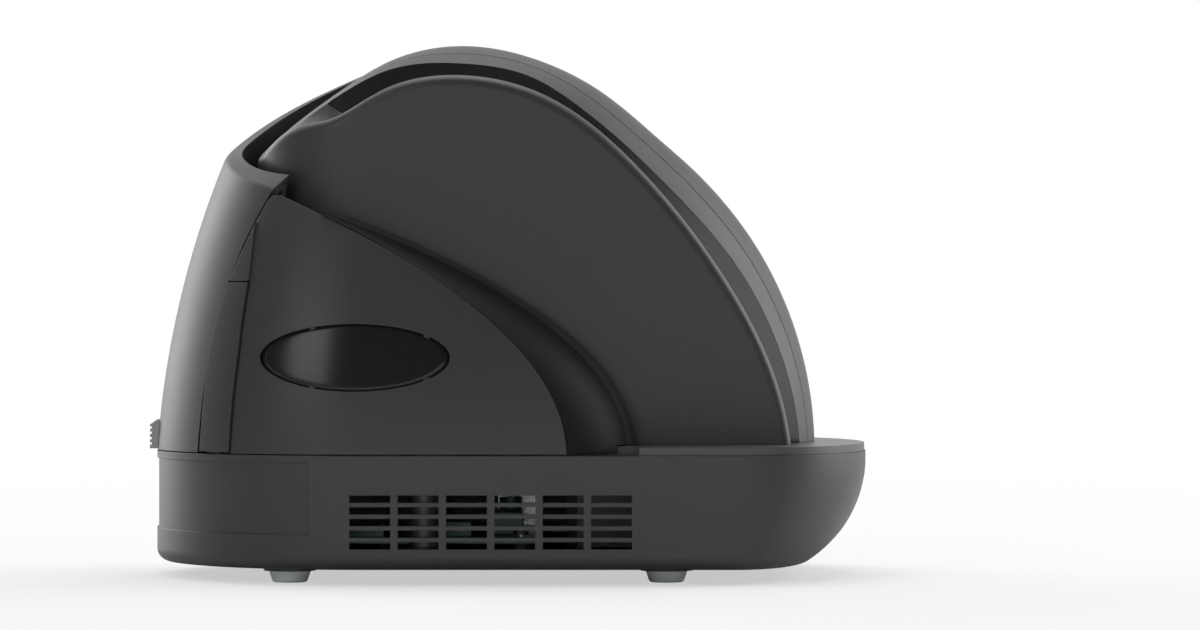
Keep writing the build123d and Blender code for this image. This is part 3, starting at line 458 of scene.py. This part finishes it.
growScrews()
screwSets = {                            # places are the undersides of the heads
    "baseScrewSet": {"node": "base_screws", "look": {"Flip": 1.0},
                     "places": [(-22, -50, 6), (-22, 50, 6), (57, -40, 6), (57, 40, 6)]},
    "motorScrewSet": {"node": "motor_screws",
                      "places": [(34 + a * 14, b * 14, 23.8) for a in (-1, 1) for b in (-1, 1)],
                      "look": {"Head radius": 2.6, "Head height": 1.6, "Shank length": 12.0}},
    "boardScrewSet": {"node": "board_screws",
                      "places": [(-74, -26, 12.35), (-74, 26, 12.35), (4, -30, 12.35),
                                 (-36, 0, 12.35), (24, 42, 12.35)],
                      "look": {"Head radius": 2.3, "Head height": 1.5, "Shank radius": 1.2,
                               "Shank length": 2.2, "Pitch": 0.6}},
}
for name, look in screwSets.items():
    screws = screwTree.grow(name, look["places"], look["look"])
    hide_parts(look["node"])
    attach(screws, "base")
print("screws grown")

# rollers with a ground, grooved tyre
tyreTree = Growth("groovedTyre", {"Radius": 9.0, "Bore": 2.05, "Height": 14.0, "Depth": 0.16,
                                  "Round": 0.5, "Grooves": 36})
tyreShape = {"around": 288, "corner": 3, "crest": 0.55, "gain": 2.2}      # grooves open above the crest


def growTyre():
    t = tyreTree
    radius, bore, height = (t.given(label) for label in ("Radius", "Bore", "Height"))
    depth, rounding, grooves = (t.given(label) for label in ("Depth", "Round", "Grooves"))
    middle = (radius + bore) * 0.5
    section = t.node("CurvePrimitiveQuadrilateral", {}, {"Width": radius - bore, "Height": height})
    section = t.node("FilletCurve", {"mode": "POLY"},
                     {"Curve": section, "Radius": rounding, "Count": tyreShape["corner"],
                      "Limit Radius": True})
    path = t.node("CurvePrimitiveCircle", {}, {"Resolution": tyreShape["around"], "Radius": middle})
    tyre = t.node("CurveToMesh", {}, {"Curve": path, "Profile Curve": section})
    place = t.node("SeparateXYZ", {}, {0: t.node("InputPosition")})
    x, y = Value(t, place.outputs[0]), Value(t, place.outputs[1])
    far = (x * x + y * y) ** 0.5 > radius - rounding
    angle = y.sum("ARCTAN2", x)
    wave = Value(t, t.node("Math", {"operation": "COSINE"}, {0: angle * grooves}).outputs[0])
    groove = (wave - tyreShape["crest"]).sum("MAXIMUM", 0.0) * tyreShape["gain"]
    outward = t.node("CombineXYZ", {}, {0: x, 1: y})
    shrink = t.node("VectorMath", {"operation": "NORMALIZE"}, {0: outward})
    offset = t.node("VectorMath", {"operation": "SCALE"},
                    {0: shrink, "Scale": groove * depth * far * -1.0})
    ground = t.node("SetPosition", {}, {"Geometry": tyre, "Offset": offset})
    t.close(t.node("InstanceOnPoints", {}, {"Points": t.entry.outputs[0], "Instance": ground}),
            rollerRubber)


growTyre()
tyreSets = {"entry": (-8.0, -25.0), "turn": (-64.2, 0.0), "exit": (-8.0, 25.0)}
idlerSets = {"front": (-8.0, -40.15), "turn": (-79.35, 0.0), "rear": (-8.0, 40.15)}
tyreSizes = {"roller": {"Radius": 8.98, "Bore": 1.98},
             "idler": {"Radius": 5.98, "Bore": 1.56, "Grooves": 24}}
tyreMiddle = 57.0                                              # height of the middle of every tyre
tyres = [(name, "roller", "_drive", place) for name, place in tyreSets.items()]
tyres += [(name, "idler", "_idler_wheel", place) for name, place in idlerSets.items()]
for name, kind, body, place in tyres:
    middle = (place[0], place[1], tyreMiddle)
    tyre = tyreTree.grow(f"{name}{kind.title()}Tyre", [middle], tyreSizes[kind])
    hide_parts(f"{name}_{kind}")
    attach(tyre, name + body)
print("tyres grown")

# camera, level and square to the front
cameraSet = {"place": (25.8, -1284.0, 73.0), "lens": 136.1, "sensor": 36.0, "near": 0.05}
camera = placed("frontCamera", bpy.data.cameras.new("frontCamera"))
camera.location = [v * mm for v in cameraSet["place"]]
camera.rotation_euler = (math.radians(90), 0, 0)
camera.data.lens = cameraSet["lens"]
camera.data.sensor_width = cameraSet["sensor"]
camera.data.clip_start = cameraSet["near"]
bpy.context.scene.camera = camera

# floor
floorSet = {"size": 12.0, "colour": grey(0.80), "near": 0.55, "far": 1.0, "nearRadius": 0.12,
            "farRadius": 0.9}


def makeFloor():
    side = floorSet["size"] / 2
    mesh = bpy.data.meshes.new("tableFloor")
    corners = [(-side, -side, 0), (side, -side, 0), (side, side, 0), (-side, side, 0)]
    mesh.from_pydata(corners, [], [(0, 1, 2, 3)])
    floor = bpy.data.objects.new("tableFloor", mesh)
    bpy.context.collection.objects.link(floor)
    f = Finish("paleFloor")
    length = f.value("VectorMath", {"operation": "LENGTH"}, {0: f.place}, "Value")
    reach = f.value("MapRange", {"interpolation_type": "SMOOTHSTEP"},
                    {0: length, 1: floorSet["nearRadius"], 2: floorSet["farRadius"],
                     3: floorSet["near"], 4: floorSet["far"]})
    rays = f.node("LightPath")
    seen = Value(f, rays.outputs["Is Camera Ray"]) * reach
    plain = f.node("BsdfDiffuse", {}, {0: floorSet["colour"]})
    white = f.node("Emission", {}, {0: (1, 1, 1, 1), 1: 1.0})
    both = f.node("MixShader", {}, {0: seen, 1: plain.outputs[0], 2: white.outputs[0]})
    f.node("OutputMaterial", {}, {0: both.outputs[0]})
    mesh.materials.append(f.material)


makeFloor()

# light: soft boxes at both sides and above, white seen all round
lamps = {
    "leftBox": {"place": (-1.05, 1.00, 0.50), "size": (0.8, 1.2), "power": 9.0},
    "rightBox": {"place": (1.25, 0.45, 0.60), "size": (0.9, 1.2), "power": 11.0},
    "lowFill": {"place": (0.15, -1.30, 0.06), "size": (1.8, 0.16), "power": 2.2},
    "topBox": {"place": (0.0, 0.25, 1.30), "size": (1.2, 0.9), "power": 9.0},
    "frontBox": {"place": (-0.95, -1.35, 0.85), "size": (0.7, 0.7), "power": 4.5},
}
aimHeight = 0.07                         # the lamps look at this height above the table
for name, look in lamps.items():
    light = bpy.data.lights.new(name, "AREA")
    light.shape = "RECTANGLE"
    light.size, light.size_y = look["size"]
    light.energy = look["power"]
    lamp = placed(name, light)
    lamp.location = look["place"]
    aim = -lamp.location.copy()
    aim.z += aimHeight
    lamp.rotation_euler = aim.to_track_quat("-Z", "Y").to_euler()

worldSet = {"front": 0.10, "side": 0.92, "start": -0.35, "end": 0.90}   # brightness from -Y to +Y


def makeWorld():
    f = Finish("studioLight")
    world = bpy.data.worlds.new("studio")
    world.use_nodes = True
    f.tree = world.node_tree
    f.tree.nodes.clear()
    way = f.node("SeparateXYZ", {}, {0: f.node("TexCoord").outputs["Generated"]}).outputs[1]
    level = f.value("MapRange", {"interpolation_type": "SMOOTHSTEP"},
                    {0: way, 1: worldSet["start"], 2: worldSet["end"],
                     3: worldSet["front"], 4: worldSet["side"]})
    rays = f.node("LightPath")
    seen = level.sum("MAXIMUM", Value(f, rays.outputs["Is Camera Ray"]))
    sky = f.node("Background", {}, {0: (1, 1, 1, 1), 1: seen})
    f.node("OutputWorld", {}, {0: sky.outputs[0]})
    bpy.data.materials.remove(f.material)
    bpy.context.scene.world = world


makeWorld()
bpy.context.scene.view_settings.view_transform = "Standard"
print("camera, floor and light made")
